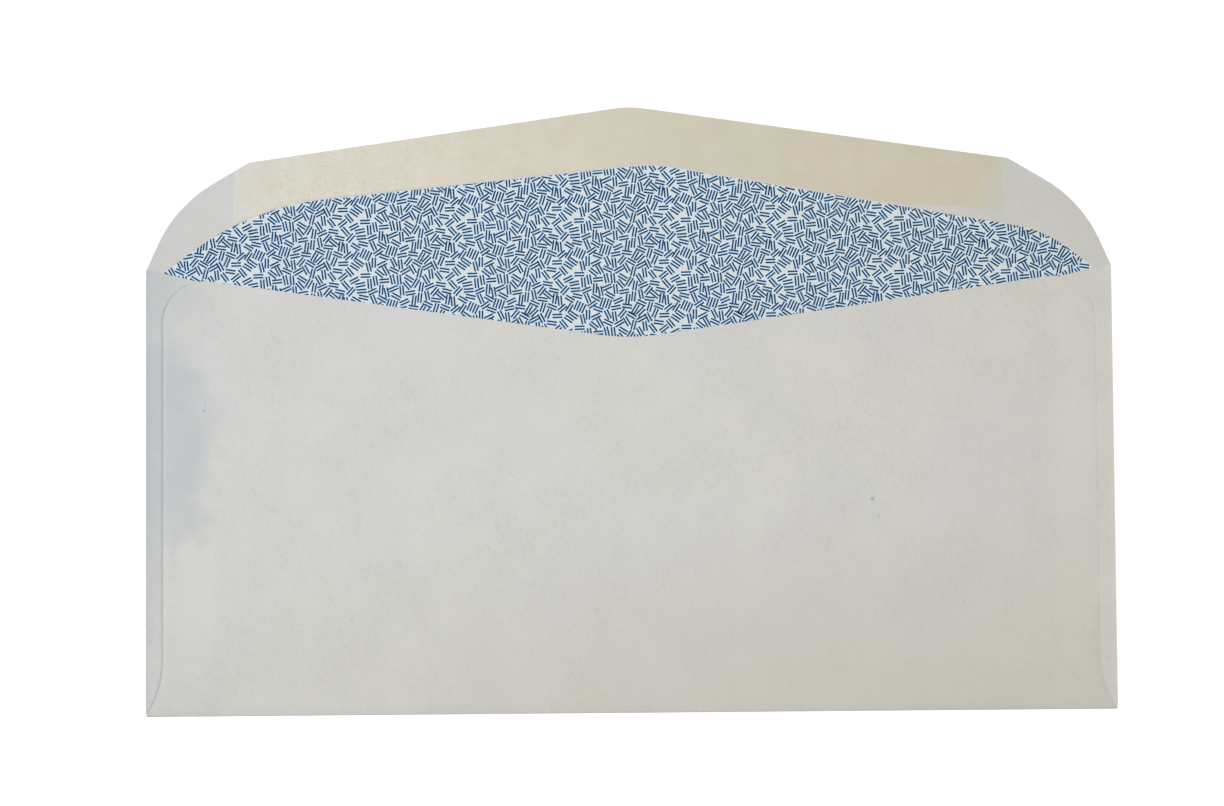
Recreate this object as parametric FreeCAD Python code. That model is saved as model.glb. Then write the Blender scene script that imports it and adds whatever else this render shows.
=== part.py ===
"""A business envelope of white wove paper, open and unsealed, lying on its address side.

One die-cut sheet makes the whole envelope. Its middle is the front panel, which lies on the table. The two
narrow side flaps fold in over the front panel. The bottom flap folds up over them as the back panel, and is
glued to their outer faces. Its top edge is the throat, a wide shallow V that the letter goes in over. The
seal flap is the front panel carried on past the top fold. It lies open here, rising a little from its
crease, and has a band of dried gum along its edge. The inside of the sheet is printed with a tint.

X runs across the envelope, Y from the bottom fold to the seal flap and Z up from the table. The origin is the
middle of the front panel's outer face. Lengths are in millimetres and angles in degrees.
"""
import FreeCAD, Part
import math
import os

from FreeCAD import Vector

# The closed body, from fold to fold
body_width = 241.3
body_height = 111.1

# The sheet and the thin layers on it
paper = 0.12
gum_thickness = 0.04
ink_thickness = 0.02
glue_thickness = 0.03
side_fold_gap = 0.15  # left inside a side fold, between the front panel and the side flap

# Side flaps, folded in over the front panel
side_flap_top_width = 17.2
side_flap_bottom_width = 15.8
side_flap_top_start = 0.1  # below the top fold, at the side fold
side_flap_top_angle = 13.5
side_flap_bottom_start = 0.8  # above the bottom fold, at the side fold
side_flap_bottom_rise = 14.0  # above the bottom fold, at the inner edge
side_flap_bottom_angle = 47.0
side_flap_corner_radius = 3.0

# Back panel, folded up from the bottom and glued over the side flaps
seam_inset = 4.35  # from the side fold to the back panel's edge
flare_height = 7.0  # where the edge bends out towards the bottom corner
flare_radius = 24.0
throat_depth = 17.7  # from the top fold to the lowest point of the throat
throat_angle = 8.2
throat_radius = 52.0
throat_shoulder_radius = 10.5

# The back panel stands off the front panel a little, most at the throat
mouth_rise = 0.6
rise_half_width = 98.0
rise_start = 22.0  # above the bottom fold

# Glue lines between the side flaps and the back panel
glue_edge_margin = 0.8  # from the back panel's edge
glue_width = 6.6
glue_end_margin = 13.0  # from the top and bottom folds

# Seal flap, as seen from above
flap_depth = 39.5
flap_edge_angle = 8.0
flap_tip_radius = 27.0
flap_corner_inset = 26.0  # from the side fold to where the long edge ends
flap_corner_radius = 3.0
flap_shoulder_angle = 30.0
flap_shoulder_radius = 34.0
flap_side_angle = 65.5
crease_radius = 0.8
crease_angle = 2.0
curl_radius = 900.0

# Printed tint on the inside, as far as its upper edge on the seal flap
print_side_margin = 4.0
print_bottom_margin = 2.0
print_tip_margin = 14.15  # from the flap's tip to the tint's peak
print_peak_shift = 5.9
print_peak_radius = 37.0
print_left_angle = 5.7
print_right_angle = 9.8
print_left_shoulder_inset = 26.3
print_right_shoulder_inset = 16.8
print_left_shoulder_radius = 68.0
print_right_shoulder_radius = 30.0
print_left_end_angle = 36.5
print_right_end_angle = 37.0

# Gum band on the seal flap
gum_left_inset = 21.5  # from the side fold to the end of the band
gum_right_inset = 26.8
gum_print_margin = 0.5  # bare paper between the gum and the tint
gum_break_inset = 56.0  # from the side fold to where the band turns away from the tint
gum_break_angle = 4.0

# Places that follow from the sizes above
half_width = body_width / 2
top_fold = body_height / 2
bottom_fold = -body_height / 2
side_flap_low = paper + side_fold_gap
side_flap_high = side_flap_low + paper
back_low = side_flap_high + glue_thickness
back_high = back_low + paper
side_fold_radius = side_flap_high / 2
bottom_fold_radius = back_high / 2
panel_half_width = half_width - side_fold_radius
panel_bottom = bottom_fold + bottom_fold_radius
seam_edge = half_width - seam_inset
flap_tip = top_fold + flap_depth
clear_height = body_width  # above and below anything that a trimming prism has to cut


def rise(angle):
    """Rise of a line for each millimetre along it, for its angle in degrees."""
    return math.tan(math.radians(angle))


def peak_rounding(radius, angle):
    """How far an arc falls short of the point where its two lines, both at this angle, would meet."""
    return radius * (1 / math.cos(math.radians(angle)) - 1)


def outline(corners):
    """A flat face whose corners are (x, y, radius), each rounded by an arc where its radius isn't zero."""
    points = [Vector(x, y, 0) for x, y, _ in corners]
    starts, arcs, ends = [], [], []
    for i, (_, _, radius) in enumerate(corners):
        here = points[i]
        back = (points[i - 1] - here).normalize()
        ahead = (points[(i + 1) % len(points)] - here).normalize()
        half_angle = back.getAngle(ahead) / 2
        reach = radius / math.tan(half_angle)
        starts.append(here + back * reach)
        ends.append(here + ahead * reach)
        middle = (back + ahead).normalize() * (radius / math.sin(half_angle) - radius)
        arcs.append(Part.Arc(starts[i], here + middle, ends[i]).toShape() if radius else None)
    edges = []
    for i, arc in enumerate(arcs):
        if arc:
            edges.append(arc)
        edges.append(Part.LineSegment(ends[i], starts[(i + 1) % len(points)]).toShape())
    return Part.Face(Part.Wire(edges))


def trim(solid, face):
    """The part of a solid that lies over or under a face of the XY plane."""
    column = face.extrude(Vector(0, 0, 2 * clear_height))
    column.translate(Vector(0, 0, -clear_height))
    return solid.common(column)


def plate(face, low, high):
    """A flat plate with this outline, between two heights."""
    solid = face.extrude(Vector(0, 0, high - low))
    solid.translate(Vector(0, 0, low))
    return solid


def mirrored(shape):
    """The same shape on the other side of the envelope."""
    return shape.mirror(Vector(0, 0, 0), Vector(1, 0, 0))


def sheet_path(height):
    """Points in the YZ plane of the front panel and seal flap, at this height over the outer face.

    The panel is flat, the crease turns up about a small radius, and the flap curls gently on from there.
    """
    lift = math.radians(crease_angle)
    end = lift + 1.5 * flap_depth / curl_radius
    crease_centre = Vector(0, top_fold, paper + crease_radius)
    crease_out = paper + crease_radius - height
    curl_out = paper + curl_radius - height

    def spoke(angle):
        return Vector(0, math.sin(angle), -math.cos(angle))

    curl_centre = crease_centre + spoke(lift) * (crease_radius - curl_radius)
    return [
        Vector(0, panel_bottom, height),
        crease_centre + spoke(0) * crease_out,
        crease_centre + spoke(lift / 2) * crease_out,
        crease_centre + spoke(lift) * crease_out,
        curl_centre + spoke((lift + end) / 2) * curl_out,
        curl_centre + spoke(end) * curl_out,
    ]


def sheet_layer(low, high):
    """A layer of the front panel and seal flap between two heights over the outer face, full width."""
    under = sheet_path(low)
    over = sheet_path(high)
    edges = [Part.LineSegment(over[-1], under[-1]).toShape(), Part.LineSegment(under[0], over[0]).toShape()]
    for start, crease_start, crease_middle, crease_end, curl_middle, curl_end in (under, over):
        edges.append(Part.LineSegment(start, crease_start).toShape())
        edges.append(Part.Arc(crease_start, crease_middle, crease_end).toShape())
        edges.append(Part.Arc(crease_end, curl_middle, curl_end).toShape())
    section = Part.Face(Part.Wire(Part.__sortEdges__(edges)))
    section.translate(Vector(-half_width, 0, 0))
    return section.extrude(Vector(body_width, 0, 0))


def flap_corners():
    """The seal flap's outline from its left shoulder over the tip to its right shoulder.

    Each long edge ends at a small corner. From there a curve runs down to the end of the top fold.
    """
    peak = flap_tip + peak_rounding(flap_tip_radius, flap_edge_angle)
    corner_x = half_width - flap_corner_inset
    corner_y = peak - rise(flap_edge_angle) * corner_x
    side, top = rise(flap_side_angle), rise(flap_shoulder_angle)
    drop = corner_y + top * corner_x - top_fold
    shoulder_x = (side * panel_half_width - drop) / (side - top)
    shoulder_y = top_fold + side * (panel_half_width - shoulder_x)
    left = [
        (-shoulder_x, shoulder_y, flap_shoulder_radius),
        (-corner_x, corner_y, flap_corner_radius),
    ]
    right = [(-x, y, radius) for x, y, radius in reversed(left)]
    return left + [(0, peak, flap_tip_radius)] + right


def front_and_flap_outline():
    """Front panel with the seal flap, seen from above."""
    panel = [
        (panel_half_width, top_fold, 0),
        (panel_half_width, panel_bottom, 0),
        (-panel_half_width, panel_bottom, 0),
        (-panel_half_width, top_fold, 0),
    ]
    return outline(panel + flap_corners())


def back_panel_outline():
    """Back panel from the bottom fold, with its flared corners, to the throat."""
    throat_peak = top_fold - throat_depth - peak_rounding(throat_radius, throat_angle)
    throat_shoulder = throat_peak + rise(throat_angle) * seam_edge
    left = [
        (-panel_half_width, panel_bottom, 0),
        (-seam_edge, bottom_fold + flare_height, flare_radius),
        (-seam_edge, throat_shoulder, throat_shoulder_radius),
    ]
    right = [(-x, y, radius) for x, y, radius in reversed(left)]
    return outline(left + [(0, throat_peak, throat_radius)] + right)


def side_flap_outline():
    """Right side flap, seen from above, from the end of its fold inwards."""
    fold_top = top_fold - side_flap_top_start
    fold_bottom = bottom_fold + side_flap_bottom_start
    inner_top = fold_top - rise(side_flap_top_angle) * (side_flap_top_width - side_fold_radius)
    inner_bottom = bottom_fold + side_flap_bottom_rise
    cut_run = (inner_bottom - fold_bottom) / rise(side_flap_bottom_angle)
    return outline([
        (panel_half_width, fold_top, 0),
        (panel_half_width, fold_bottom, 0),
        (half_width - side_flap_bottom_width + cut_run, fold_bottom, 0),
        (half_width - side_flap_bottom_width, inner_bottom, side_flap_corner_radius),
        (half_width - side_flap_top_width, inner_top, side_flap_corner_radius),
    ])


def half_tube(radius, length):
    """A fold of the sheet: half a tube along X whose open side faces +Y, resting on the XY plane."""
    centre = Vector(0, 0, radius)
    outer = Part.makeCylinder(radius, length, centre, Vector(1, 0, 0))
    inner = Part.makeCylinder(radius - paper, length, centre, Vector(1, 0, 0))
    half = Part.makeBox(length, radius, 2 * radius, Vector(0, -radius, 0))
    return outer.cut(inner).common(half)


def bottom_fold_bend():
    """The fold that turns the sheet up and back as the back panel."""
    bend = half_tube(bottom_fold_radius, 2 * panel_half_width)
    bend.translate(Vector(-panel_half_width, panel_bottom, 0))
    return bend


def side_fold_bend():
    """The right side fold, as long as the side flap where it meets it."""
    length = body_height - side_flap_top_start - side_flap_bottom_start
    bend = half_tube(side_fold_radius, length)
    bend.rotate(Vector(0, 0, 0), Vector(0, 0, 1), 90)
    bend.translate(Vector(panel_half_width, bottom_fold + side_flap_bottom_start, 0))
    return bend


def risen_sheet():
    """The middle of the back panel before it is trimmed: a sheet that rises smoothly towards the throat.

    The two outer rows of poles are level on three sides, so the sheet runs on flush from the flat panel.
    """
    across = [0, 0, 0.42, 0.86, 1, 0.86, 0.42, 0, 0]
    along = [0, 0, 0.12, 0.42, 0.8, 1.06, 1.16]
    degree = 3
    start, end = bottom_fold + rise_start, top_fold
    poles = []
    for i, share_across in enumerate(across):
        x = rise_half_width * (2 * i / (len(across) - 1) - 1)
        row = []
        for j, share_along in enumerate(along):
            y = start + (end - start) * j / (len(along) - 1)
            row.append(Vector(x, y, back_low + mouth_rise * share_across * share_along))
        poles.append(row)

    def knots(count):
        spans = count - degree
        return list(range(spans + 1)), [degree + 1] + [1] * (spans - 1) + [degree + 1]

    u_knots, u_counts = knots(len(across))
    v_knots, v_counts = knots(len(along))
    surface = Part.BSplineSurface()
    surface.buildFromPolesMultsKnots(
        poles, u_counts, v_counts, u_knots, v_knots, False, False, degree, degree)
    return surface.toShape().extrude(Vector(0, 0, paper))


def back_panel():
    """Flat along the seams and the bottom fold, and rising in the middle towards the throat."""
    face = back_panel_outline()
    window = Part.makeBox(
        2 * rise_half_width, body_height, 2 * clear_height,
        Vector(-rise_half_width, bottom_fold + rise_start, -clear_height))
    flat = plate(face, back_low, back_high).cut(window)
    return flat.fuse(trim(risen_sheet(), face))


def side_flap():
    """Right side flap with its fold."""
    return plate(side_flap_outline(), side_flap_low, side_flap_high).fuse(side_fold_bend())


def folded_sheet():
    """The whole envelope: one sheet, cut and folded."""
    front = trim(sheet_layer(0, paper), front_and_flap_outline())
    folded = front.multiFuse([bottom_fold_bend(), back_panel(), side_flap(), mirrored(side_flap())])
    return folded.removeSplitter()


def print_upper_edge():
    """Corners of the tint's upper edge, from its left end to its right end."""
    peak_y = flap_tip - print_tip_margin
    left_x = -half_width + print_left_shoulder_inset
    right_x = half_width - print_right_shoulder_inset
    end_x = half_width - print_side_margin
    left_y = peak_y - rise(print_left_angle) * (print_peak_shift - left_x)
    right_y = peak_y - rise(print_right_angle) * (right_x - print_peak_shift)
    return [
        (-end_x, left_y - rise(print_left_end_angle) * (end_x + left_x), 0),
        (left_x, left_y, print_left_shoulder_radius),
        (print_peak_shift, peak_y, print_peak_radius),
        (right_x, right_y, print_right_shoulder_radius),
        (end_x, right_y - rise(print_right_end_angle) * (end_x - right_x), 0),
    ]


def tint_outline():
    """The printed field, seen from above."""
    end_x = half_width - print_side_margin
    low_y = bottom_fold + print_bottom_margin
    return outline(print_upper_edge() + [(end_x, low_y, 0), (-end_x, low_y, 0)])


def printed_tint():
    """Film of ink on the inside of the front panel and the lower part of the seal flap."""
    return trim(sheet_layer(paper, paper + ink_thickness), tint_outline())


def flap_gum():
    """Band of dried gum between the tint and the seal flap's outer edge, cut off square at both ends."""
    left_x = -half_width + gum_left_inset
    break_x = half_width - gum_break_inset
    right_x = half_width - gum_right_inset
    print_left = print_upper_edge()[:3]
    peak_x, peak_y, _ = print_left[-1]
    break_y = peak_y - rise(print_right_angle) * (break_x - peak_x)
    right_y = break_y - rise(gum_break_angle) * (right_x - break_x)
    lower_edge = print_left + [(break_x, break_y, 0), (right_x, right_y, 0)]
    band = outline(
        [(x, y + gum_print_margin, radius) for x, y, radius in lower_edge]
        + [(right_x, flap_tip, 0), (print_left[0][0], flap_tip, 0)])
    ends = outline([
        (left_x, top_fold, 0),
        (right_x, top_fold, 0),
        (right_x, flap_tip, 0),
        (left_x, flap_tip, 0),
    ])
    layer = trim(sheet_layer(paper, paper + gum_thickness), band)
    return trim(trim(layer, ends), front_and_flap_outline())


def seam_glue():
    """Glue line between the right side flap and the back panel."""
    outer = seam_edge - glue_edge_margin
    inner = outer - glue_width
    low_y = bottom_fold + glue_end_margin
    high_y = top_fold - glue_end_margin
    face = outline([(outer, high_y, 0), (outer, low_y, 0), (inner, low_y, 0), (inner, high_y, 0)])
    return plate(face, side_flap_high, back_low)


def main():
    nodes = {
        "folded_sheet": folded_sheet(),
        "flap_gum": flap_gum(),
        "printed_tint": printed_tint(),
        "seam_glue_left": mirrored(seam_glue()),
        "seam_glue_right": seam_glue(),
    }
    os.makedirs("parts", exist_ok=True)
    for name, shape in nodes.items():
        shape.exportStep("parts/" + name + ".step")
        print(name, "solids", len(shape.Solids), "valid", shape.isValid(), "mm3", round(shape.Volume, 2))


main()
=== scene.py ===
"""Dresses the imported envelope: its paper, printed tint, gum and glue, with a floor, light and camera.

The frame is the part's own: X across the envelope, Y towards the seal flap and Z up. Lengths are in metres.
"""
import itertools
import math
import random
from bisect import bisect

import bpy
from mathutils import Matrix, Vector, kdtree, noise
from mathutils.geometry import delaunay_2d_cdt


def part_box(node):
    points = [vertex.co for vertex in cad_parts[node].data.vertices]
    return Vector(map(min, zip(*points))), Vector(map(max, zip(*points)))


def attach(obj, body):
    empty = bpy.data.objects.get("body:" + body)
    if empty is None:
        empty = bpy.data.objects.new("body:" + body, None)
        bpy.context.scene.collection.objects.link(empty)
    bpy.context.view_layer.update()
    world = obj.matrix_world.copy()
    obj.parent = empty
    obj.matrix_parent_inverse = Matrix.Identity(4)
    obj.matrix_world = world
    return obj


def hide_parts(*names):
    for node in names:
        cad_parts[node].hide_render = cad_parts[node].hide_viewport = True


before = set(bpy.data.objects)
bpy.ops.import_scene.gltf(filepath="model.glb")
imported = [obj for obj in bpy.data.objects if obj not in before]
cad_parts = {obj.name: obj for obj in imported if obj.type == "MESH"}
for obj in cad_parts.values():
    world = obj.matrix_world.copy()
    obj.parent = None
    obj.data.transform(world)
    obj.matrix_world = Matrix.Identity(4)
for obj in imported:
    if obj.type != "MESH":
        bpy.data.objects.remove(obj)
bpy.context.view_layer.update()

# The closed body and the seal flap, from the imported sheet
sheet_low, sheet_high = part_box("folded_sheet")
half_width = sheet_high.x
bottom_fold = sheet_low.y
top_fold = -bottom_fold
flap_tip = sheet_high.y

# The sheet's thickness, and the heights that its layers lie at
paper = 0.00012
side_flap_high = 0.00039
back_high = 0.00054
side_fold_radius = side_flap_high / 2
bottom_fold_radius = back_high / 2
panel_half_width = half_width - side_fold_radius
panel_bottom = bottom_fold + bottom_fold_radius
side_bend = math.pi * (side_fold_radius - paper / 2)
bottom_bend = math.pi * (bottom_fold_radius - paper / 2)
side_start = panel_half_width + side_bend  # where a side flap begins on the flat blank
back_start = panel_bottom - bottom_bend  # where the back panel begins on the flat blank

# Side flaps
side_flap_top_width = 0.0172
side_flap_bottom_width = 0.0158
side_flap_top_start = 0.0001
side_flap_top_angle = 13.5
side_flap_bottom_start = 0.0008
side_flap_bottom_rise = 0.014
side_flap_bottom_angle = 47.0
side_flap_corner_radius = 0.003

# Back panel
seam_edge = half_width - 0.00435
flare_height = 0.007
flare_radius = 0.024
throat_depth = 0.0177
throat_angle = 8.2
throat_radius = 0.052
throat_shoulder_radius = 0.0105
mouth_rise = 0.0007
rise_half_width = 0.098
rise_start = bottom_fold + 0.022
rise_across_power = 2.8  # how sharply the rise fades towards the seams
rise_along_power = 1.5  # and towards the bottom fold
flap_mark_depth = 0.00007  # step over the hidden edge of a side flap
flap_mark_width = 0.0020
left_edge_lift = 0.00018  # the free margins outside the glue stand off a little
right_edge_lift = 0.00008
edge_lift_width = 0.0014
cockle_height = 0.00007
cockle_scale = 32.0
cockle_stretch = 1.6

# Seal flap
flap_edge_angle = 8.0
flap_tip_radius = 0.027
flap_corner_inset = 0.026
flap_corner_radius = 0.003
flap_shoulder_angle = 30.0
flap_shoulder_radius = 0.034
flap_side_angle = 65.5
crease_radius = 0.0008
crease_angle = 2.0
curl_radius = 0.9
flap_wave_height = 0.0003
flap_wave_scale = 17.0

# Printed tint
print_end = half_width - 0.004
print_bottom = bottom_fold + 0.002
print_tip_margin = 0.01415
print_peak_shift = 0.0059
print_peak_radius = 0.037
print_left_angle = 5.7
print_right_angle = 9.8
print_left_shoulder_inset = 0.0263
print_right_shoulder_inset = 0.0168
print_left_shoulder_radius = 0.068
print_right_shoulder_radius = 0.030
print_left_end_angle = 36.5
print_right_end_angle = 37.0

# Gum band
gum_left_inset = 0.0215
gum_right_inset = 0.0268
gum_print_margin = 0.0005
gum_break_inset = 0.056
gum_break_angle = 4.0
gum_ragged = 0.00035
gum_fine_scale = 900.0
gum_coarse_scale = 250.0

# Thin layers on the inner face, as heights over it
ground_top = 0.000010
wash_low, wash_top = 0.000006, 0.000014
dash_low, dash_top = 0.000012, 0.000024
gum_top = 0.000035

# The tint's pattern: pairs of short dashes, in a repeat
tile_width = 0.0267
tile_height = 0.0134
pairs_in_tile = 78
dash_length = 0.0025
dash_width = 0.00041
pair_breadth = 0.00113
dash_spacing = pair_breadth - dash_width
pair_clearance = -0.0001  # below zero, as the corners of pairs touch
clearance_step = 0.00003
pair_tries = 400
neighbour_gap = 0.0005  # new pairs closer than this stand at an angle to each other
neighbour_angle = 21.0
crowded_gap = 0.0002  # pairs closer than this are eased apart or turned
crowded_angle = 14.0
alongside_cost = 0.7
easing_sweeps = 30
easing_move = 0.0002
easing_turn = 8.0
easing_calm = 0.8  # share of a move's size that is lost by the last sweep
pattern_seed = 23
wash_margin = 0.00016
height_step = 0.0000005  # between pairs that may overlap
height_steps = 8
pattern_depth = 0.03  # how far the pattern is drawn below the throat's lowest point

# The floor, and how far off it begins and ends to turn plain white
floor_reach = 3.0
floor_glow = 0.3
floor_near = 0.15
floor_far = 0.32

# Mesh spacing
grid = 0.0022
crease_row_gap = grid / 6
close_room = 0.2 * grid  # room that rows and margins keep from earlier points
open_room = 0.45 * grid  # room that the plain grid keeps from them
arc_step = math.radians(3)
bend_steps = 6
sharp_angle = math.radians(50)
same_place = 1e-7  # lengths below this count as nothing


def rise(angle):
    """Rise of a line for each unit along it, for its angle in degrees."""
    return math.tan(math.radians(angle))


def smooth(value):
    """Smooth step from 0 to 1."""
    value = min(max(value, 0.0), 1.0)
    return value * value * (3 - 2 * value)


def peak_rounding(radius, angle):
    """How far an arc falls short of the point where its two lines, both at this angle, would meet."""
    return radius * (1 / math.cos(math.radians(angle)) - 1)


def rounded(corners):
    """Points along an outline whose corners are (x, y, radius), with each arc as short chords."""
    points = []
    for i, (x, y, radius) in enumerate(corners):
        here = Vector((x, y))
        if not radius:
            points.append(here)
            continue
        back = (Vector(corners[i - 1][:2]) - here).normalized()
        ahead = (Vector(corners[(i + 1) % len(corners)][:2]) - here).normalized()
        half_angle = back.angle(ahead) / 2
        centre = here + (back + ahead).normalized() * (radius / math.sin(half_angle))
        start = here + back * (radius / math.tan(half_angle)) - centre
        end = here + ahead * (radius / math.tan(half_angle)) - centre
        turn = math.atan2(start.x * end.y - start.y * end.x, start.dot(end))
        steps = max(2, math.ceil(abs(turn) / arc_step))
        for k in range(steps + 1):
            angle = math.atan2(start.y, start.x) + turn * k / steps
            points.append(centre + Vector((math.cos(angle), math.sin(angle))) * radius)
    return points


def stepped(points, step):
    """A closed outline with more points on its long stretches."""
    result = []
    for i, start in enumerate(points):
        end = points[(i + 1) % len(points)]
        count = max(1, math.ceil((end - start).length / step))
        result += [start.lerp(end, k / count) for k in range(count)]
    return result


def flap_corners():
    """The seal flap's outline from its right shoulder over the tip to its left shoulder."""
    peak = flap_tip + peak_rounding(flap_tip_radius, flap_edge_angle)
    corner_x = half_width - flap_corner_inset
    corner_y = peak - rise(flap_edge_angle) * corner_x
    side, top = rise(flap_side_angle), rise(flap_shoulder_angle)
    drop = corner_y + top * corner_x - top_fold
    shoulder_x = (side * panel_half_width - drop) / (side - top)
    shoulder_y = top_fold + side * (panel_half_width - shoulder_x)
    right = [
        (shoulder_x, shoulder_y, flap_shoulder_radius),
        (corner_x, corner_y, flap_corner_radius),
    ]
    left = [(-x, y, radius) for x, y, radius in reversed(right)]
    return right + [(0, peak, flap_tip_radius)] + left


def flap_path():
    """Seal flap from the right end of the top fold to its left end."""
    return rounded([(panel_half_width, top_fold, 0)] + flap_corners() + [(-panel_half_width, top_fold, 0)])


def back_path():
    """Back panel's cut edge, in its folded place, from the left end of the bottom fold to its right end."""
    throat_peak = top_fold - throat_depth - peak_rounding(throat_radius, throat_angle)
    throat_shoulder = throat_peak + rise(throat_angle) * seam_edge
    left = [
        (-panel_half_width, panel_bottom, 0),
        (-seam_edge, bottom_fold + flare_height, flare_radius),
        (-seam_edge, throat_shoulder, throat_shoulder_radius),
    ]
    right = [(-x, y, radius) for x, y, radius in reversed(left)]
    return rounded(left + [(0, throat_peak, throat_radius)] + right)


def side_path():
    """Right side flap's cut edge, in its folded place, from the top end of its fold to the bottom end."""
    fold_top = top_fold - side_flap_top_start
    fold_bottom = bottom_fold + side_flap_bottom_start
    inner_top = fold_top - rise(side_flap_top_angle) * (side_flap_top_width - side_fold_radius)
    inner_bottom = bottom_fold + side_flap_bottom_rise
    cut_run = (inner_bottom - fold_bottom) / rise(side_flap_bottom_angle)
    return rounded([
        (panel_half_width, fold_top, 0),
        (half_width - side_flap_top_width, inner_top, side_flap_corner_radius),
        (half_width - side_flap_bottom_width, inner_bottom, side_flap_corner_radius),
        (half_width - side_flap_bottom_width + cut_run, fold_bottom, 0),
        (panel_half_width, fold_bottom, 0),
    ])


def blank_outline():
    """The flat die-cut sheet's outline, with the front panel in its own place."""
    shares = [k / bend_steps for k in range(bend_steps)]
    side = side_path()
    right_side = [Vector((panel_half_width + side_bend * s, side[0].y)) for s in shares]
    right_side += [Vector((side_start + panel_half_width - p.x, p.y)) for p in side]
    right_side += [Vector((panel_half_width + side_bend * s, side[-1].y)) for s in shares[::-1]]
    left_side = [Vector((-p.x, p.y)) for p in right_side]
    back = [Vector((p.x, back_start + panel_bottom - p.y)) for p in back_path()]
    fold_down = [Vector((-panel_half_width, panel_bottom - bottom_bend * s)) for s in shares]
    fold_up = [Vector((-p.x, p.y)) for p in fold_down[::-1]]
    return flap_path() + left_side + fold_down + back + fold_up + right_side[::-1]


def side_flap_edge(y):
    """How far from the middle the hidden inner edge of a side flap lies, at this height on the panel."""
    inner_bottom = bottom_fold + side_flap_bottom_rise
    if y < inner_bottom:
        return half_width - side_flap_bottom_width + (inner_bottom - y) / rise(side_flap_bottom_angle)
    share = (y - inner_bottom) / (top_fold - inner_bottom)
    return half_width - side_flap_bottom_width - share * (side_flap_top_width - side_flap_bottom_width)


def outline_tree(points):
    """Search tree over points of the XY plane."""
    tree = kdtree.KDTree(len(points))
    for i, point in enumerate(points):
        tree.insert((point.x, point.y, 0), i)
    tree.balance()
    return tree


back_edge_tree = outline_tree(stepped(back_path(), grid / 8))


def back_shape(x, y):
    """Height of the back panel over its flat place: the open mouth, the marks and the free margins."""
    across = max(0.0, 1 - (x / rise_half_width) ** 2) ** rise_across_power
    along = smooth((y - rise_start) / (top_fold - rise_start)) ** rise_along_power
    height = mouth_rise * across * along
    inside = smooth((side_flap_edge(y) - abs(x)) / flap_mark_width + 0.5)
    clear_of_fold = smooth((y - panel_bottom) / flare_height)
    height -= flap_mark_depth * inside * clear_of_fold * (1 - across * along)
    cockle = noise.noise(Vector((x, y * cockle_stretch, 0)) * cockle_scale)
    height += cockle_height * cockle * inside * clear_of_fold
    gap = back_edge_tree.find((x, y, 0))[2]
    if abs(x) > rise_half_width and gap < edge_lift_width:
        lift = left_edge_lift if x < 0 else right_edge_lift
        height += lift * (1 - gap / edge_lift_width) ** 2 * smooth((y - panel_bottom) / edge_lift_width)
    return height


def flap_wave(x, y):
    """Slow wave in the seal flap, from nothing at the crease to its full height at the tip."""
    reach = (y - top_fold) / (flap_tip - top_fold)
    if reach <= 0:
        return 0.0
    return flap_wave_height * smooth(reach) * noise.noise(Vector((x, y, 0.02)) * flap_wave_scale)


def front_point(x, y, level):
    """Point of the front panel or seal flap, at this level over the sheet's outer face."""
    inner_radius = paper + crease_radius
    turn = math.radians(crease_angle)
    crease_end = top_fold + (inner_radius - level) * math.sin(turn)
    if y <= top_fold:
        return Vector((x, y, level))
    if y <= crease_end:
        radius, centre_y, centre_z = inner_radius - level, top_fold, inner_radius
    else:
        shift = curl_radius - crease_radius
        radius = paper + curl_radius - level
        centre_y = top_fold - math.sin(turn) * shift
        centre_z = inner_radius + math.cos(turn) * shift
    z = centre_z - math.sqrt(radius ** 2 - (y - centre_y) ** 2)
    return Vector((x, y, z + flap_wave(x, y)))


def sheet_point(u, v, level):
    """Folded place of a point of the flat blank, at this level over the sheet's outer face."""
    out = abs(u) - panel_half_width
    down = panel_bottom - v
    if down > bottom_bend:
        y = panel_bottom + down - bottom_bend
        return Vector((u, y, back_high - level + back_shape(u, y)))
    if down > 0:
        radius, angle = bottom_fold_radius - level, math.pi * down / bottom_bend
        y = panel_bottom - radius * math.sin(angle)
        return Vector((u, y, bottom_fold_radius - radius * math.cos(angle)))
    if out > side_bend:
        return Vector((math.copysign(panel_half_width - out + side_bend, u), v, side_flap_high - level))
    if out > 0:
        radius, angle = side_fold_radius - level, math.pi * out / side_bend
        x = panel_half_width + radius * math.sin(angle)
        return Vector((math.copysign(x, u), v, side_fold_radius - radius * math.cos(angle)))
    return front_point(u, v, level)


def spread(low, high, step=grid):
    """Evenly spaced values from low to high."""
    count = max(1, round((high - low) / step))
    return [low + (high - low) * k / count for k in range(count + 1)]


def crease_rows():
    """Rows of points close to the top fold."""
    across = spread(-print_end, print_end)
    return [[Vector((x, top_fold + k * crease_row_gap)) for x in across] for k in (-1, 0, 1)]


def sheet_rows():
    """Rows of points along the folds, and along the marks of the side flaps in the back panel."""
    rows = crease_rows()
    for k in range(bend_steps + 1):
        v = panel_bottom - bottom_bend * k / bend_steps
        rows.append([Vector((u, v)) for u in spread(-panel_half_width, panel_half_width)])
    for side in (-1, 1):
        for k in range(bend_steps + 1):
            u = side * (panel_half_width + side_bend * k / bend_steps)
            fold_ends = bottom_fold + side_flap_bottom_start, top_fold - side_flap_top_start
            rows.append([Vector((u, v)) for v in spread(*fold_ends)])
        for k in range(-2, 3):
            inset = k * flap_mark_width / 4
            rows.append([Vector((side * (side_flap_edge(y) + inset), back_start + panel_bottom - y))
                         for y in spread(bottom_fold + flare_height / 2, top_fold - flare_height)])
    return rows


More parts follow.
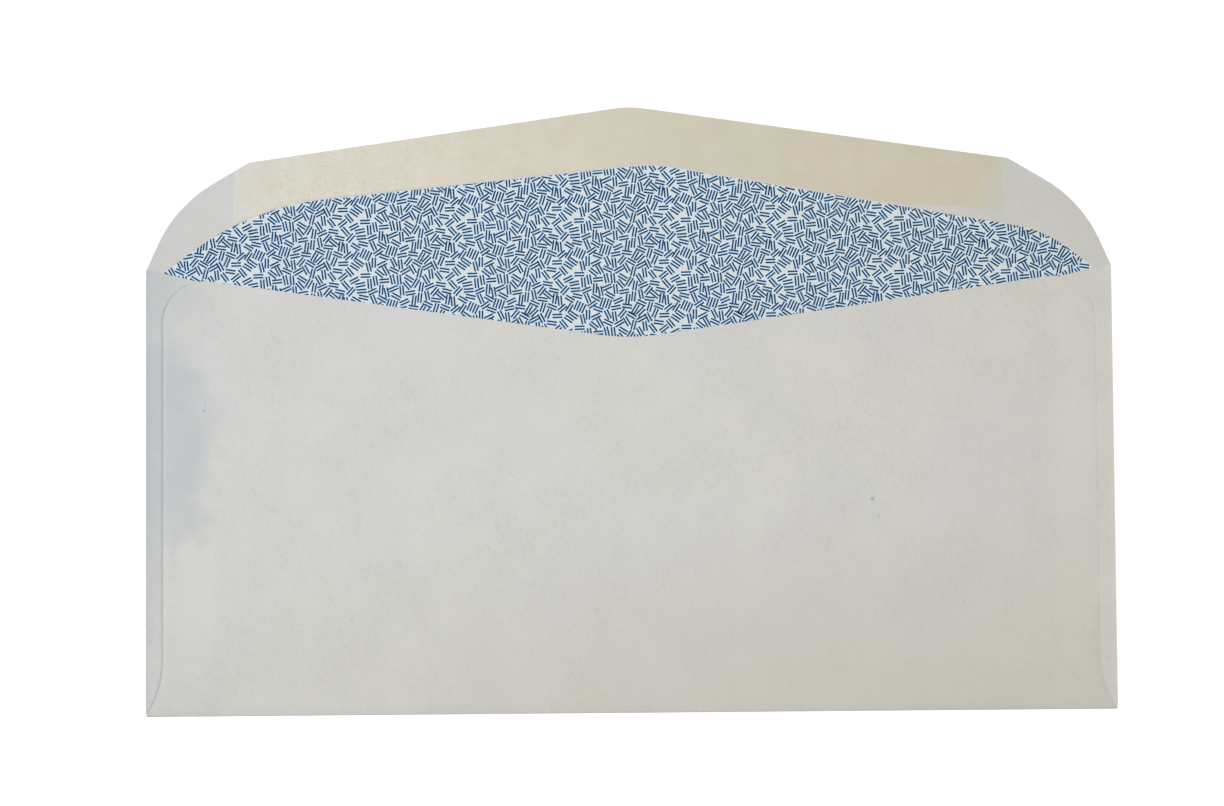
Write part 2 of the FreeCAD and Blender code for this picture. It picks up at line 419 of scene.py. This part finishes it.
def layer(name, outline, place, low, high, rows=()):
    """A closed thin mesh over an outline of the plane, with place(x, y, level) giving its two faces."""
    border = stepped(outline, grid)
    kept = list(border)
    edges = []
    tree = outline_tree(kept)
    for row in rows:
        clear = [p for p in row if tree.find((p.x, p.y, 0))[2] > close_room]
        edges += [(len(kept) + k, len(kept) + k + 1) for k in range(len(clear) - 1)]
        kept += clear
    margins = []
    for i, point in enumerate(border):
        along = border[(i + 1) % len(border)] - border[i - 1]
        inward = Vector((-along.y, along.x)).normalized()
        margins += [point + inward * edge_lift_width * share for share in (0.5, 1)]
    x_values = [p.x for p in border]
    y_values = [p.y for p in border]
    squares = [Vector((x, y)) for x in spread(min(x_values), max(x_values))
               for y in spread(min(y_values), max(y_values))]
    for candidates, room in ((margins, close_room), (squares, open_room)):
        tree = outline_tree(kept)
        kept += [p for p in candidates if tree.find((p.x, p.y, 0))[2] > room]
    inside_only = 1  # the result without the triangles outside the border
    ring = list(range(len(border)))
    flat, _, faces, *_ = delaunay_2d_cdt(kept, edges, [ring], inside_only, same_place)
    used = sorted({i for face in faces for i in face})
    number = {old: new for new, old in enumerate(used)}
    count = len(used)
    vertices = [place(flat[i].x, flat[i].y, low) for i in used]
    vertices += [place(flat[i].x, flat[i].y, high) for i in used]
    upper = [[number[i] + count for i in face] for face in faces]
    lower = [[number[i] for i in reversed(face)] for face in faces]
    sides = {(face[k - 1], face[k]) for face in faces for k in range(3)}
    walls = [[number[a], number[b], number[b] + count, number[a] + count]
             for a, b in sorted(sides) if (b, a) not in sides]
    return mesh_object(name, vertices, upper + lower + walls)


def mesh_object(name, vertices, faces):
    """A mesh object in the frame, smooth apart from its edges."""
    mesh = bpy.data.meshes.new(name)
    mesh.from_pydata([tuple(v) for v in vertices], [], faces)
    mesh.validate()
    mesh.shade_smooth()
    mesh.set_sharp_from_angle(angle=sharp_angle)
    result = bpy.data.objects.new(name, mesh)
    bpy.context.scene.collection.objects.link(result)
    return result


def on_inner_face(x, y, height):
    """Point over the inner face of the front panel or seal flap."""
    return front_point(x, y, paper + height)


def print_upper_edge():
    """Corners of the tint's upper edge, from its left end to its right end."""
    peak_y = flap_tip - print_tip_margin
    left_x = -half_width + print_left_shoulder_inset
    right_x = half_width - print_right_shoulder_inset
    left_y = peak_y - rise(print_left_angle) * (print_peak_shift - left_x)
    right_y = peak_y - rise(print_right_angle) * (right_x - print_peak_shift)
    return [
        (-print_end, left_y - rise(print_left_end_angle) * (print_end + left_x), 0),
        (left_x, left_y, print_left_shoulder_radius),
        (print_peak_shift, peak_y, print_peak_radius),
        (right_x, right_y, print_right_shoulder_radius),
        (print_end, right_y - rise(print_right_end_angle) * (print_end - right_x), 0),
    ]


def tint_outline():
    """The printed field, counter-clockwise."""
    corners = [(print_end, print_bottom, 0)] + print_upper_edge()[::-1] + [(-print_end, print_bottom, 0)]
    return rounded(corners)


def pair_at(place, turn):
    """A pair of dashes: its place, and the directions along and across it."""
    along = Vector((math.cos(turn), math.sin(turn)))
    return place, along, Vector((-along.y, along.x))


def pair_gap(first, second):
    """The gap between two pairs, below zero where they overlap, with the tile repeated."""
    offset = first[0] - second[0]
    offset.x -= tile_width * round(offset.x / tile_width)
    offset.y -= tile_height * round(offset.y / tile_height)
    half_length, half_breadth = dash_length / 2, pair_breadth / 2
    if offset.length > 2 * (half_length + half_breadth):
        return tile_width
    widest = -tile_width
    for axis in first[1:] + second[1:]:
        reach = 0.0
        for _, along, across in (first, second):
            reach += half_length * abs(axis.dot(along)) + half_breadth * abs(axis.dot(across))
        widest = max(widest, abs(offset.dot(axis)) - reach)
    return widest


def crowding(pair, others):
    """How closely other pairs stand around one, with more for those that run alongside it."""
    alongside = math.cos(math.radians(crowded_angle))
    total = 0.0
    for other in others:
        gap = pair_gap(pair, other)
        if gap < crowded_gap:
            extra = alongside_cost if abs(pair[1].dot(other[1])) > alongside else 0
            total += (1 - gap / crowded_gap + extra) ** 2
    return total


def grown_tile(draw):
    """The pairs of dashes in one repeat, where each new one goes as close to the others as it can."""
    most_alike = math.cos(math.radians(neighbour_angle))
    clearance = pair_clearance
    pairs = []
    while len(pairs) < pairs_in_tile:
        closest, best = math.inf, None
        for _ in range(pair_tries):
            place = Vector((draw.uniform(0, tile_width), draw.uniform(0, tile_height)))
            pair = pair_at(place, draw.uniform(0, math.pi))
            room = tile_width
            for other in pairs:
                gap = pair_gap(pair, other)
                alike = abs(pair[1].dot(other[1])) > most_alike
                if gap < clearance or (alike and gap < neighbour_gap):
                    break
                room = min(room, gap)
            else:
                if room < closest:
                    closest, best = room, pair
        if best:
            pairs.append(best)
        else:
            clearance -= clearance_step
    return pairs


def pair_tile():
    """The pairs of dashes in one repeat, eased apart by chance moves that leave them less crowded."""
    draw = random.Random(pattern_seed)
    pairs = grown_tile(draw)
    for sweep in range(easing_sweeps):
        calm = 1 - easing_calm * sweep / easing_sweeps
        for i, (place, along, _) in enumerate(pairs):
            others = pairs[:i] + pairs[i + 1:]
            move = Vector((draw.gauss(0, easing_move), draw.gauss(0, easing_move))) * calm
            turn = math.atan2(along.y, along.x) + math.radians(draw.gauss(0, easing_turn)) * calm
            moved = pair_at(place + move, turn)
            if crowding(moved, others) < crowding(pairs[i], others):
                pairs[i] = moved
    return pairs


def clipped(polygon, border):
    """The part of a convex polygon inside a convex counter-clockwise border."""
    for i, end in enumerate(border):
        start = border[i - 1]
        edge = end - start
        depths = [edge.x * (point.y - start.y) - edge.y * (point.x - start.x) for point in polygon]
        if min(depths) >= 0:
            continue
        if max(depths) <= 0:
            return []
        kept = []
        for k, point in enumerate(polygon):
            before, here = depths[k - 1], depths[k]
            if (before < 0) != (here < 0):
                kept.append(polygon[k - 1].lerp(point, before / (before - here)))
            if here >= 0:
                kept.append(point)
        polygon = kept
    return polygon


def rectangle(centre, along, across, length, breadth):
    """Corners of a rectangle, counter-clockwise."""
    a, b = along * length / 2, across * breadth / 2
    return [centre - a - b, centre + a - b, centre + a + b, centre - a + b]


def prisms(name, plates, low, high):
    """Flat plates on the inner face, one for each polygon and its own lift, as one mesh."""
    vertices, faces = [], []
    for polygon, lift in plates:
        first, count = len(vertices), len(polygon)
        vertices += [on_inner_face(p.x, p.y, low + lift) for p in polygon]
        vertices += [on_inner_face(p.x, p.y, high + lift) for p in polygon]
        faces.append([first + count + k for k in range(count)])
        faces.append([first + k for k in reversed(range(count))])
        for k in range(count):
            ahead = (k + 1) % count
            faces.append([first + k, first + ahead, first + count + ahead, first + count + k])
    return mesh_object(name, vertices, faces)


def tint_pattern():
    """The dashes and the pale wash under each pair, cut off at the tint's edge and parted at the crease."""
    border = tint_outline()
    reach = 2 * half_width
    fields = []
    for low, high in ((-reach, top_fold), (top_fold, reach)):
        corners = (-reach, low), (reach, low), (reach, high), (-reach, high)
        fields.append(clipped([Vector(corner) for corner in corners], border))
    lowest = top_fold - throat_depth - pattern_depth
    columns = range(math.floor(-print_end / tile_width) - 1, math.ceil(print_end / tile_width) + 1)
    rows = range(math.floor(lowest / tile_height), math.ceil(flap_tip / tile_height))
    tile = pair_tile()
    dashes, washes = [], []
    for column, row in itertools.product(columns, rows):
        for number, (place, along, across) in enumerate(tile):
            centre = place + Vector((column * tile_width, row * tile_height))
            lift = height_step * (number % height_steps)
            breadth = pair_breadth + 2 * wash_margin
            shapes = [(washes, rectangle(centre, along, across, dash_length + 2 * wash_margin, breadth))]
            for side in (-0.5, 0.5):
                middle = centre + across * side * dash_spacing
                shapes.append((dashes, rectangle(middle, along, across, dash_length, dash_width)))
            for (plates, shape), field in itertools.product(shapes, fields):
                piece = clipped(shape, field)
                if piece:
                    plates.append((piece, lift))
    ink = prisms("tint_dashes", dashes, dash_low, dash_top)
    return ink, prisms("tint_wash", washes, wash_low, wash_top)


def gum_outline():
    """The gum band: the flap's own edge above, and a slightly ragged edge beside the tint."""
    left_x = -half_width + gum_left_inset
    break_x = half_width - gum_break_inset
    right_x = half_width - gum_right_inset
    print_left = print_upper_edge()[:3]
    peak_x, peak_y, _ = print_left[-1]
    break_y = peak_y - rise(print_right_angle) * (break_x - peak_x)
    right_y = break_y - rise(gum_break_angle) * (right_x - break_x)
    border = rounded(print_left + [(break_x, break_y, 0), (right_x, right_y, 0)])
    border_x = [p.x for p in border]
    ragged = []
    for x in spread(left_x, right_x, grid / 2):
        k = min(max(bisect(border_x, x), 1), len(border) - 1)
        share = (x - border_x[k - 1]) / (border_x[k] - border_x[k - 1])
        y = border[k - 1].lerp(border[k], share).y + gum_print_margin
        fine = noise.noise(Vector((x, 0, 0.5)) * gum_fine_scale)
        coarse = noise.noise(Vector((x, 0, 0.9)) * gum_coarse_scale)
        ragged.append(Vector((x, y + gum_ragged * (fine + coarse) / 2)))
    edge = flap_path()
    upper = [p for p in stepped(edge, grid / 2) if left_x < p.x < right_x and p.y > right_y + grid]
    return ragged + upper


def srgb(red, green, blue):
    """Linear colour for screen values from 0 to 255."""
    def linear(value):
        value /= 255
        return value / 12.92 if value <= 0.04045 else ((value + 0.055) / 1.055) ** 2.4
    return linear(red), linear(green), linear(blue), 1.0


class Nodes:
    """A node tree, with short calls for the nodes that any tree can have."""

    def __init__(self, tree):
        self.tree = tree

    def add(self, kind, **inputs):
        """A node with its inputs set, by name, to values or to other nodes' outputs."""
        node = self.tree.nodes.new(kind)
        for key, value in inputs.items():
            self.feed(node.inputs[key.replace("_", " ")], value)
        return node

    def feed(self, socket, value):
        """Sets a socket to a value, or links it to an output."""
        if isinstance(value, bpy.types.NodeSocket):
            self.tree.links.new(value, socket)
        else:
            socket.default_value = value

    def math(self, operation, first, second=0.0):
        """The number that two others give."""
        node = self.tree.nodes.new("ShaderNodeMath")
        node.operation = operation
        self.feed(node.inputs[0], first)
        self.feed(node.inputs[1], second)
        return node.outputs[0]

    def mix(self, share, first, second):
        """Two colours mixed."""
        node = self.tree.nodes.new("ShaderNodeMix")
        node.data_type = "RGBA"
        self.feed(node.inputs[0], share)
        self.feed(node.inputs[6], first)
        self.feed(node.inputs[7], second)
        return node.outputs[2]

    def looked_at(self):
        """1 for rays that show the surroundings, and 0 for those by which they light the envelope."""
        path = self.add("ShaderNodeLightPath").outputs
        mirrored = self.math("MAXIMUM", path["Is Glossy Ray"], path["Is Transmission Ray"])
        return self.math("MAXIMUM", path["Is Camera Ray"], mirrored)


class Finish(Nodes):
    """A material with one glossy-over-matt shader, and short calls for its patterns."""

    def __init__(self, name, roughness, specular=0.3):
        self.material = bpy.data.materials.new(name)
        self.material.use_nodes = True
        super().__init__(self.material.node_tree)
        self.shader = self.tree.nodes["Principled BSDF"]
        self.shader.inputs["Roughness"].default_value = roughness
        self.shader.inputs["Specular IOR Level"].default_value = specular
        self.place = self.add("ShaderNodeTexCoord").outputs["Object"]

    def drawn_out(self, size, turn):
        """Coordinates in which one unit is this size along each axis, after a turn about Z in degrees."""
        node = self.add("ShaderNodeMapping", Vector=self.place, Rotation=(0, 0, math.radians(turn)),
                        Scale=size)
        node.vector_type = "TEXTURE"
        return node.outputs["Vector"]

    def noise(self, scale, detail=2.0, roughness=0.5, place=None):
        """Smooth noise about 0.5, with this many features to the metre."""
        node = self.add("ShaderNodeTexNoise", Vector=place or self.place, Scale=scale, Detail=detail,
                        Roughness=roughness)
        return node.outputs["Fac"]

    def between(self, value, low, high):
        """A value's share of the way from low to high, from 0 to 1."""
        node = self.add("ShaderNodeMapRange", Value=value, From_Min=low, From_Max=high)
        return node.outputs["Result"]

    def distance(self, x, y, stretch=(1, 1)):
        """Distance over the XY plane from a point, with each axis scaled."""
        start = -x * stretch[0], -y * stretch[1], 0
        moved = self.add("ShaderNodeMapping", Vector=self.place, Location=start, Scale=(*stretch, 0))
        length = self.tree.nodes.new("ShaderNodeVectorMath")
        length.operation = "LENGTH"
        self.feed(length.inputs[0], moved.outputs["Vector"])
        return length.outputs["Value"]

    def bump(self, height, depth, strength=1.0):
        """Relief of this depth in metres."""
        node = self.add("ShaderNodeBump", Height=height, Distance=depth, Strength=strength)
        self.feed(self.shader.inputs["Normal"], node.outputs["Normal"])

    def colour(self, value):
        """The shader's colour."""
        self.feed(self.shader.inputs["Base Color"], value)

    def rough(self, value):
        """The shader's roughness, where it varies."""
        self.feed(self.shader.inputs["Roughness"], value)


def paper_finish(name, dense, thin, specks=(), shade_and_tone_patches=()):
    """White wove paper: clouded formation, fine slanting fibres, specks, and broad patches of painted shade
    and of lighter tone.

    A speck is x, y, radius, share and tone. A patch is x, y, its two radii, raggedness, share and tone.
    """
    finish = Finish(name, 0.8, specular=0.25)
    clouds = finish.noise(45, detail=7, roughness=0.66)
    cast = finish.noise(17, detail=7, roughness=0.6)
    fibres = finish.noise(1, detail=3, place=finish.drawn_out((0.0005, 0.0015, 0.001), 30))
    grain = finish.noise(2600, detail=3, roughness=0.65)
    colour = finish.mix(finish.between(clouds, 0.35, 0.65), dense, thin)
    cool_share = finish.math("MULTIPLY", finish.between(cast, 0.47, 0.56), 0.4)
    colour = finish.mix(cool_share, colour, srgb(205, 205, 211))
    felted = finish.math("MULTIPLY", finish.between(fibres, 0.5, 0.8), finish.between(clouds, 0.66, 0.36))
    colour = finish.mix(finish.math("MULTIPLY", felted, 0.8), colour, srgb(190, 190, 187))
    pits = finish.math("MULTIPLY", finish.between(grain, 0.52, 0.3), 0.4)
    colour = finish.mix(pits, colour, srgb(190, 191, 190))
    # broad patches: painted shade where they darken the paper, plain tone where they lighten it
    for x, y, radius_x, radius_y, raggedness, share, tone in shade_and_tone_patches:
        near = finish.distance(x, y, (1 / radius_x, 1 / radius_y))
        broken = finish.math("ADD", near, finish.math("MULTIPLY", clouds, raggedness))
        border = 1 + raggedness / 2
        amount = finish.math("MULTIPLY", finish.between(broken, border, border - 0.8), share)
        colour = finish.mix(amount, colour, tone)
    for x, y, radius, share, tone in specks:
        near = finish.distance(x, y)
        ragged = finish.math("ADD", near, finish.math("MULTIPLY", grain, radius))
        amount = finish.math("MULTIPLY", finish.between(ragged, radius * 1.5, radius * 0.6), share)
        colour = finish.mix(amount, colour, tone)
    finish.colour(colour)
    finish.rough(finish.between(grain, -1.2, 1.6))
    relief = finish.math("ADD", finish.math("MULTIPLY", fibres, 0.6), grain)
    finish.bump(relief, 0.00002, 0.55)
    return finish.material


def ink_finish():
    """Dark blue ink, a little uneven where the plate printed it thinly."""
    finish = Finish("tint_ink", 0.7, specular=0.08)
    thin = finish.noise(420, detail=3)
    finish.colour(finish.mix(finish.between(thin, 0.35, 0.75), srgb(20, 56, 92), srgb(26, 78, 120)))
    finish.bump(finish.noise(3000, detail=2), 0.000008, 0.3)
    return finish.material


def wash_finish():
    """Pale blue between and around the dashes of a pair."""
    finish = Finish("tint_wash", 0.8, specular=0.25)
    uneven = finish.noise(600, detail=3)
    finish.colour(finish.mix(finish.between(uneven, 0.3, 0.75), srgb(203, 226, 248), srgb(213, 232, 248)))
    finish.bump(finish.noise(2600, detail=3), 0.00002, 0.5)
    return finish.material


def ground_finish():
    """Bare paper inside the printed field, very slightly toned."""
    finish = Finish("tint_ground", 0.8, specular=0.25)
    uneven = finish.noise(240, detail=4)
    finish.colour(finish.mix(finish.between(uneven, 0.35, 0.7), srgb(216, 220, 223), srgb(221, 222, 221)))
    finish.bump(finish.noise(2600, detail=3), 0.00002, 0.5)
    return finish.material


def gum_finish():
    """Dried gum: warm, a little shiny, finely pebbled, and patchy at its ends."""
    finish = Finish("dried_gum", 0.42, specular=0.45)
    patches = finish.noise(120, detail=5, roughness=0.65)
    pebbles = finish.noise(1500, detail=2, roughness=0.55)
    colour = finish.mix(finish.between(patches, 0.3, 0.7), srgb(197, 191, 173), srgb(204, 199, 182))
    left_end = finish.distance(-half_width + gum_left_inset, top_fold + 0.018, (1, 0.4))
    right_end = finish.distance(half_width - gum_right_inset, top_fold + 0.016, (1, 0.5))
    near_left = finish.between(left_end, 0.034, 0.006)
    near_right = finish.between(right_end, 0.006, 0.002)
    left_bare = finish.math("MULTIPLY", near_left, finish.between(patches, 0.4, 0.62))
    right_bare = finish.math("MULTIPLY", near_right, finish.between(patches, 0.3, 0.5))
    colour = finish.mix(left_bare, colour, srgb(201, 200, 194))
    colour = finish.mix(right_bare, colour, srgb(198, 196, 189))
    finish.colour(colour)
    finish.rough(finish.between(pebbles, -0.9, 2.2))
    finish.bump(pebbles, 0.00003, 0.5)
    return finish.material


def glue_finish():
    """Dried seam glue, clear and slightly yellow."""
    finish = Finish("seam_glue", 0.45, specular=0.4)
    blotches = finish.noise(300, detail=4)
    finish.colour(finish.mix(finish.between(blotches, 0.3, 0.7), srgb(214, 210, 196), srgb(222, 219, 208)))
    finish.bump(blotches, 0.00001, 0.4)
    return finish.material


def floor_finish():
    """A white floor that looks brighter than it is, most of all away from the envelope's shadow."""
    finish = Finish("floor", 0.9, specular=0.1)
    finish.colour(srgb(244, 244, 244))
    away = finish.between(finish.distance(0, 0), floor_near, floor_far)
    glow = finish.math("ADD", finish.math("MULTIPLY", away, 1 - floor_glow), floor_glow)
    strength = finish.math("MULTIPLY", glow, finish.looked_at())
    finish.feed(finish.shader.inputs["Emission Color"], (1, 1, 1, 1))
    finish.feed(finish.shader.inputs["Emission Strength"], strength)
    return finish.material


def dress(piece, material, slot, *nodes):
    """Gives a piece its material, hangs it under the root body and hides the nodes that it stands for; the
    slot is not used.
    """
    piece.data.materials.append(material)
    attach(piece, "root")
    if nodes:
        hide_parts(*nodes)


def make_envelope():
    """The folded sheet, with finishes of their own for the back panel's and the side flaps' outer faces."""
    sheet = layer("envelope_sheet", blank_outline(), sheet_point, 0, paper, sheet_rows())
    grey, blue = srgb(128, 132, 134), srgb(120, 150, 185)
    # colours of painted shade, cool and warm, and of a plain lighter tone
    painted_cool_shade, warm, light = srgb(186, 192, 197), srgb(196, 192, 178), srgb(216, 216, 213)
    dense, thin = srgb(206, 206, 204), srgb(212, 212, 209)
    specks = [
        (0.0601, -0.0029, 0.0007, 0.75, grey),
        (0.0616, -0.0074, 0.0004, 0.5, grey),
        (0.0479, -0.0023, 0.0003, 0.35, grey),
        (0.0866, -0.0234, 0.0003, 0.4, grey),
        (0.0828, -0.0284, 0.0003, 0.35, grey),
        (-0.1061, 0.0202, 0.0005, 0.6, blue),
        (-0.1059, 0.0217, 0.0004, 0.5, blue),
    ]
    # the back panel's patches: lighter bands along the seams over the side flaps, and painted shade
    back_shade_and_tones = [
        (-0.110, -0.01, 0.009, 0.060, 0.3, 0.35, light),
        (0.110, 0, 0.009, 0.060, 0.3, 0.35, light),
        # painted cool shade, darker on the left, over the seam and the panel's edge
        (-0.119, 0.024, 0.017, 0.044, 1.6, 0.85, painted_cool_shade),
        (-0.109, 0.008, 0.010, 0.024, 2.2, 0.7, painted_cool_shade),
        # painted warm shade: darker and yellower towards the bottom and right
        (0.050, -0.062, 0.19, 0.060, 0.3, 0.45, warm),
    ]
    # painted cool shade over the left side strip
    side_painted_shade = [(-0.1206, 0.024, 0.016, 0.062, 1.2, 0.9, painted_cool_shade)]
    # this paper, which the seal flap shows, is painted a little darker than the back's and side flaps' as
    # shade
    inside = paper_finish("wove_paper", srgb(201, 201, 200), srgb(207, 207, 205))
    dress(sheet, inside, "white_wove_paper", "folded_sheet")
    sheet.data.materials.append(paper_finish("wove_paper_back", dense, thin, specks, back_shade_and_tones))
    sheet.data.materials.append(paper_finish("wove_paper_side", dense, thin, shade_and_tone_patches=side_painted_shade))
    back_number, side_number = 1, 2
    back_low = side_flap_high - paper / 2
    vertices = sheet.data.vertices
    for face in sheet.data.polygons:
        heights = [vertices[i].co.z for i in face.vertices]
        level = max(heights) - min(heights) < same_place
        if level and abs(heights[0] - side_flap_high) < same_place:
            face.material_index = side_number
        elif face.normal.z > 0.5 and face.center.y < top_fold and face.center.z > back_low:
            face.material_index = back_number


def make_layers():
    """The printed field with its pattern, the gum band and the glue lines."""
    ground = layer("tint_ground", tint_outline(), on_inner_face, 0, ground_top, crease_rows())
    dress(ground, ground_finish(), "tint_ink", "printed_tint")
    dashes, wash = tint_pattern()
    dress(dashes, ink_finish(), "tint_ink")
    dress(wash, wash_finish(), "tint_ink")
    gum = layer("gum_band", gum_outline(), on_inner_face, 0, gum_top)
    dress(gum, gum_finish(), "dried_gum", "flap_gum")
    glue = glue_finish()
    for side in ("left", "right"):
        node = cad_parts["seam_glue_" + side]
        node.data.materials.clear()
        node.data.materials.append(glue)


def make_floor():
    """A plain pale floor that the envelope lies on."""
    corners = [(-1, -1), (1, -1), (1, 1), (-1, 1)]
    floor = mesh_object("floor", [Vector((x, y, 0)) * floor_reach for x, y in corners], [[0, 1, 2, 3]])
    floor.data.materials.append(floor_finish())


def area_light(name, place, size, power, colour):
    """A square soft light that faces the envelope."""
    lamp = bpy.data.lights.new(name, "AREA")
    lamp.size = size
    lamp.energy = power
    lamp.color = colour
    light = bpy.data.objects.new(name, lamp)
    light.location = place
    light.rotation_euler = (-Vector(place)).to_track_quat("-Z", "Y").to_euler()
    bpy.context.scene.collection.objects.link(light)


def make_light():
    """Faint light all round, a soft light overhead and a warm one from the right, before plain white."""
    world = bpy.data.worlds.new("surroundings")
    world.use_nodes = True
    nodes = Nodes(world.node_tree)
    faint, white = (0.205, 0.205, 0.164, 1), (1, 1, 1, 1)
    nodes.feed(nodes.tree.nodes["Background"].inputs["Color"], nodes.mix(nodes.looked_at(), faint, white))
    bpy.context.scene.world = world
    daylight, lamplight = (0.863, 0.888, 0.975), (1, 0.9, 0.7)
    area_light("window_light", (-0.13, 0.05, 0.46), size=0.15, power=1.5, colour=daylight)
    area_light("lamp_light", (1.2, 0.2, 0.7), size=0.3, power=9.7, colour=lamplight)


def make_camera():
    """A 50 mm lens almost straight above the envelope, as the photograph was taken."""
    lens = bpy.data.cameras.new("camera")
    lens.lens = 50
    lens.sensor_width = 36
    lens.clip_start = 0.01
    camera = bpy.data.objects.new("camera", lens)
    camera.location = (-0.00796, 0.00955, 0.42412)
    camera.rotation_euler = [math.radians(angle) for angle in (1.603, -0.434, -0.43)]
    bpy.context.scene.collection.objects.link(camera)
    bpy.context.scene.camera = camera


make_camera()
make_envelope()
make_layers()
make_floor()
make_light()
bpy.context.scene.view_settings.view_transform = "Standard"
